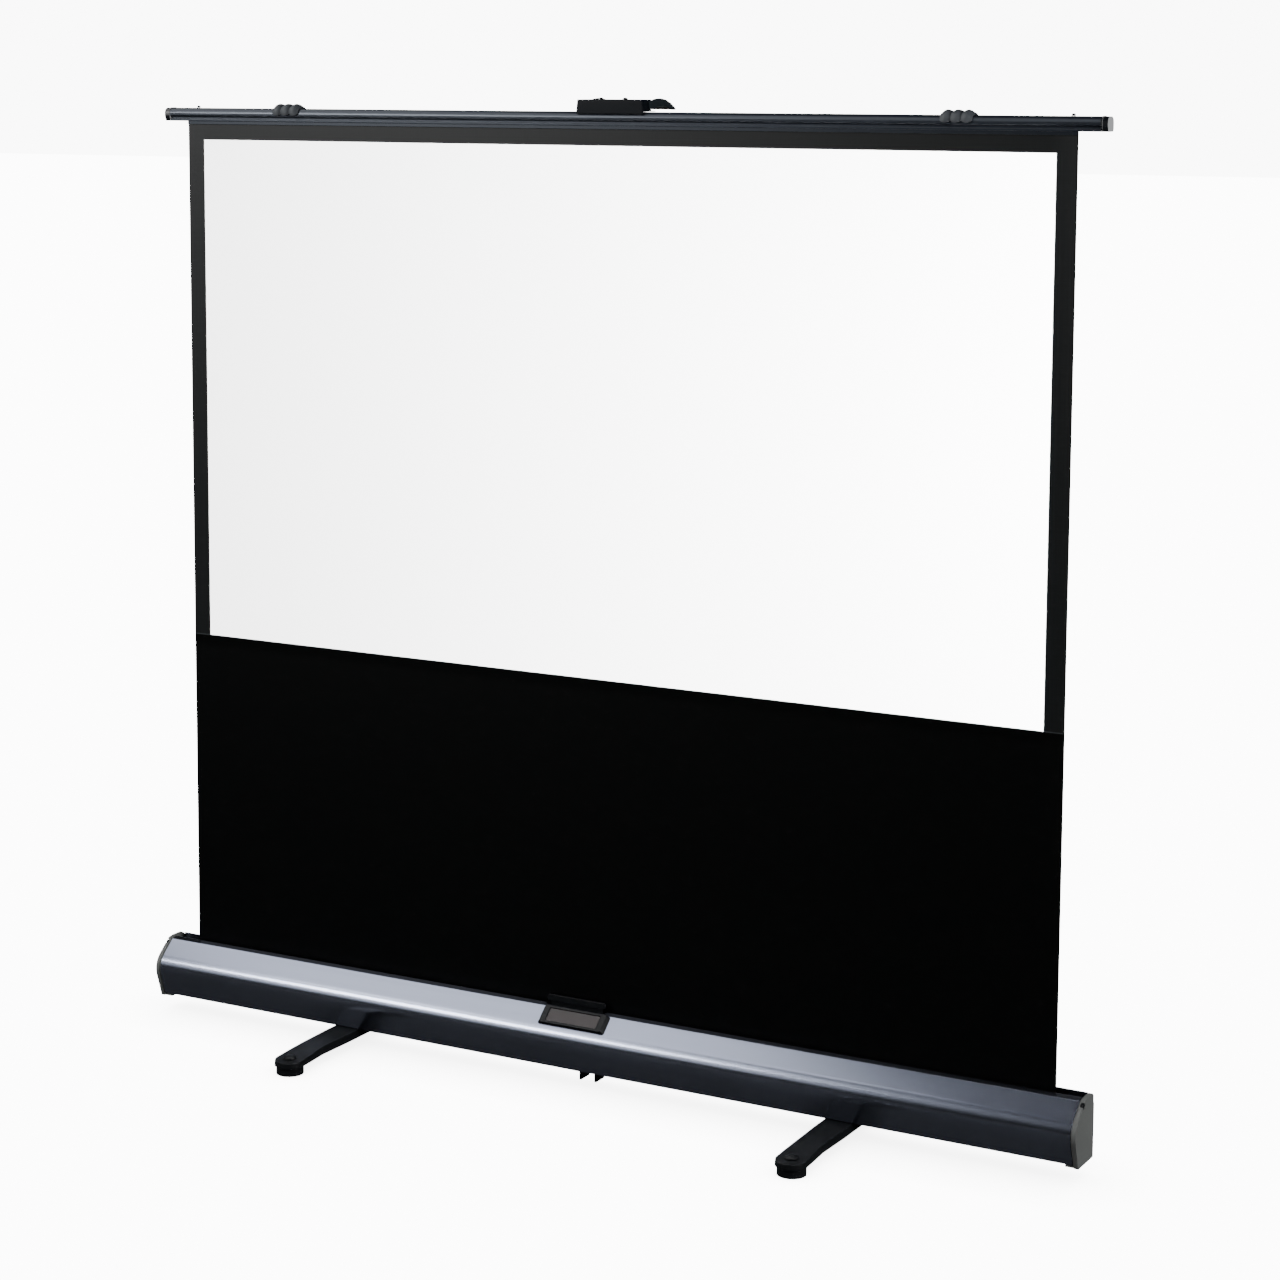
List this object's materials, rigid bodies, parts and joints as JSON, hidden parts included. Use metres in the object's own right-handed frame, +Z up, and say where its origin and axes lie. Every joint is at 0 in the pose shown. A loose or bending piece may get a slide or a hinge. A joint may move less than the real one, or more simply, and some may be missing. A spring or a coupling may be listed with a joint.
{
  "type": "portable projection screen",
  "caption": "Portable pull-up projection screen: a floor case with swing-out feet, a roller, and a scissor linkage that lifts the top bar and a white picture cloth with black borders.",
  "frame": {"origin": "On the floor, under the middle of the case's length and depth.", "axes": "+X along the case to the viewer's right, +Y to the back of the screen, +Z up. The picture faces -Y."},
  "size_m": [1.724, 0.4468, 1.6353],
  "materials": {
    "gunmetal": "anodised, satin",
    "black_bar": "black anodised, satin",
    "cap_grey": "moulded, fine grain",
    "dark_plastic": "moulded, satin",
    "plate_brown": "moulded, fine grain",
    "rubber": "matt",
    "black_plastic": "moulded, satin",
    "steel": "zinc plated",
    "chrome": "polished",
    "aluminium": "mill finish",
    "black_fabric": "matt coated cloth",
    "white_fabric": "matt coated cloth"
  },
  "bodies": {
    "base": {"case_extrusion": "gunmetal", "end_cap_left": "cap_grey", "end_cap_right": "cap_grey", "end_cap_screw_left": "steel", "end_cap_screw_right": "steel", "latch_bezel": "dark_plastic", "latch_pin": "steel", "latch_spring": "steel", "roller_bracket_left": "steel", "roller_bracket_right": "steel", "roller_pin": "steel", "spring_shaft": "steel", "roller_spring": "steel", "base_pin": "steel", "lower_track": "aluminium", "base_bracket": "steel", "foot_pivot_left": "steel", "foot_pivot_right": "steel", "centre_bracket": "black_bar", "fabric_black": "black_fabric", "picture_surface": "white_fabric"},
    "latch": {"release_plate": "plate_brown", "latch_hook": "dark_plastic"},
    "roller": {"roller_tube": "aluminium", "fabric_turns": "black_fabric", "roller_plug_left": "black_plastic", "roller_plug_right": "black_plastic"},
    "lower_left_arm": {"arm_a1": "aluminium", "cross_pin_1": "steel", "knee_pin_right": "steel"},
    "lower_right_arm": {"arm_b1": "aluminium", "knee_pin_left": "steel", "lower_shoe_pin": "steel"},
    "upper_left_arm": {"arm_a2": "aluminium", "cross_pin_2": "steel", "upper_shoe_pin": "steel"},
    "upper_right_arm": {"arm_b2": "aluminium", "top_pin": "steel"},
    "bottom_slider": {"lower_shoe": "dark_plastic"},
    "top_slider": {"upper_shoe": "dark_plastic"},
    "bar": {"top_bar": "black_bar", "bar_cap_left": "cap_grey", "bar_cap_right": "cap_grey", "bar_pin_left": "black_plastic", "bar_pin_right": "black_plastic", "fabric_clamp": "black_bar", "saddle_pad_left": "rubber", "saddle_pad_right": "rubber", "handle_box": "dark_plastic", "box_screw_left": "chrome", "box_screw_right": "chrome", "top_bracket": "steel"},
    "handle": {"carry_handle": "dark_plastic"},
    "left_foot": {"foot_left": "black_plastic"},
    "right_foot": {"foot_right": "black_plastic"},
    "left_front_pad": {"levelling_pad_left_front": "rubber"},
    "left_rear_pad": {"levelling_pad_left_rear": "rubber"},
    "right_front_pad": {"levelling_pad_right_front": "rubber"},
    "right_rear_pad": {"levelling_pad_right_rear": "rubber"}
  },
  "joints": [
    {"name": "lift", "type": "hinge", "parent": "base", "child": "lower_left_arm", "pos_m": [-0.13647, 0.0261, 0.055], "axis": [0, 1, 0], "range_deg": [0, 68.48], "deforming": ["fabric_black", "picture_surface"]},
    {"name": "cross_lower", "type": "hinge", "parent": "lower_left_arm", "child": "lower_right_arm", "pos_m": [0, 0.0261, 0.431], "axis": [0, 1, 0], "range_deg": [-136.95, 0]},
    {"name": "knee_left", "type": "hinge", "parent": "lower_right_arm", "child": "upper_left_arm", "pos_m": [-0.13647, 0.0261, 0.807], "axis": [0, 1, 0], "range_deg": [0, 136.95]},
    {"name": "cross_upper", "type": "hinge", "parent": "upper_left_arm", "child": "upper_right_arm", "pos_m": [0, 0.0261, 1.183], "axis": [0, 1, 0], "range_deg": [-136.95, 0]},
    {"name": "top_pivot", "type": "hinge", "parent": "upper_right_arm", "child": "bar", "pos_m": [-0.13647, 0.0261, 1.559], "axis": [0, 1, 0], "range_deg": [0, 68.48]},
    {"name": "bottom_slider_pivot", "type": "hinge", "parent": "lower_right_arm", "child": "bottom_slider", "pos_m": [0.13647, 0.0261, 0.055], "axis": [0, 1, 0], "range_deg": [0, 68.48]},
    {"name": "top_slider_pivot", "type": "hinge", "parent": "upper_left_arm", "child": "top_slider", "pos_m": [0.13647, 0.0261, 1.559], "axis": [0, 1, 0], "range_deg": [-68.48, 0]},
    {"name": "roller_spin", "type": "hinge", "parent": "base", "child": "roller", "pos_m": [0, -0.0022, 0.078], "axis": [1, 0, 0], "range_deg": [-4382.46, 0]},
    {"name": "handle_swing", "type": "hinge", "parent": "bar", "child": "handle", "pos_m": [0.0275, 0.043, 1.6225], "axis": [1, 0, 0], "range_deg": [0, 90]},
    {"name": "latch_rock", "type": "hinge", "parent": "base", "child": "latch", "pos_m": [-0.018, -0.00369, 0.11923], "axis": [1, 0, 0], "range_deg": [0, 5], "stiffness_Nm_per_rad": 0.8},
    {"name": "foot_left_swing", "type": "hinge", "parent": "base", "child": "left_foot", "pos_m": [-0.465, 0, 0.022], "axis": [0, 0, 1], "range_deg": [0, 90]},
    {"name": "foot_right_swing", "type": "hinge", "parent": "base", "child": "right_foot", "pos_m": [0.465, 0, 0.022], "axis": [0, 0, -1], "range_deg": [0, 90]},
    {"name": "left_front_pad_turn", "type": "hinge", "parent": "left_foot", "child": "left_front_pad", "pos_m": [-0.465, -0.197, 0.008], "axis": [0, 0, 1], "continuous": true},
    {"name": "left_rear_pad_turn", "type": "hinge", "parent": "left_foot", "child": "left_rear_pad", "pos_m": [-0.465, 0.197, 0.008], "axis": [0, 0, 1], "continuous": true},
    {"name": "right_front_pad_turn", "type": "hinge", "parent": "right_foot", "child": "right_front_pad", "pos_m": [0.465, -0.197, 0.008], "axis": [0, 0, 1], "continuous": true},
    {"name": "right_rear_pad_turn", "type": "hinge", "parent": "right_foot", "child": "right_rear_pad", "pos_m": [0.465, 0.197, 0.008], "axis": [0, 0, 1], "continuous": true}
  ],
  "couplings": [
    {"joint": "cross_lower", "follows": "lift", "ratio": -2},
    {"joint": "knee_left", "follows": "lift", "ratio": 2},
    {"joint": "cross_upper", "follows": "lift", "ratio": -2},
    {"joint": "top_pivot", "follows": "lift", "ratio": 1},
    {"joint": "bottom_slider_pivot", "follows": "lift", "ratio": 1},
    {"joint": "top_slider_pivot", "follows": "lift", "ratio": -1},
    {"joint": "roller_spin", "follows": "lift", "ratio": -64}
  ]
}
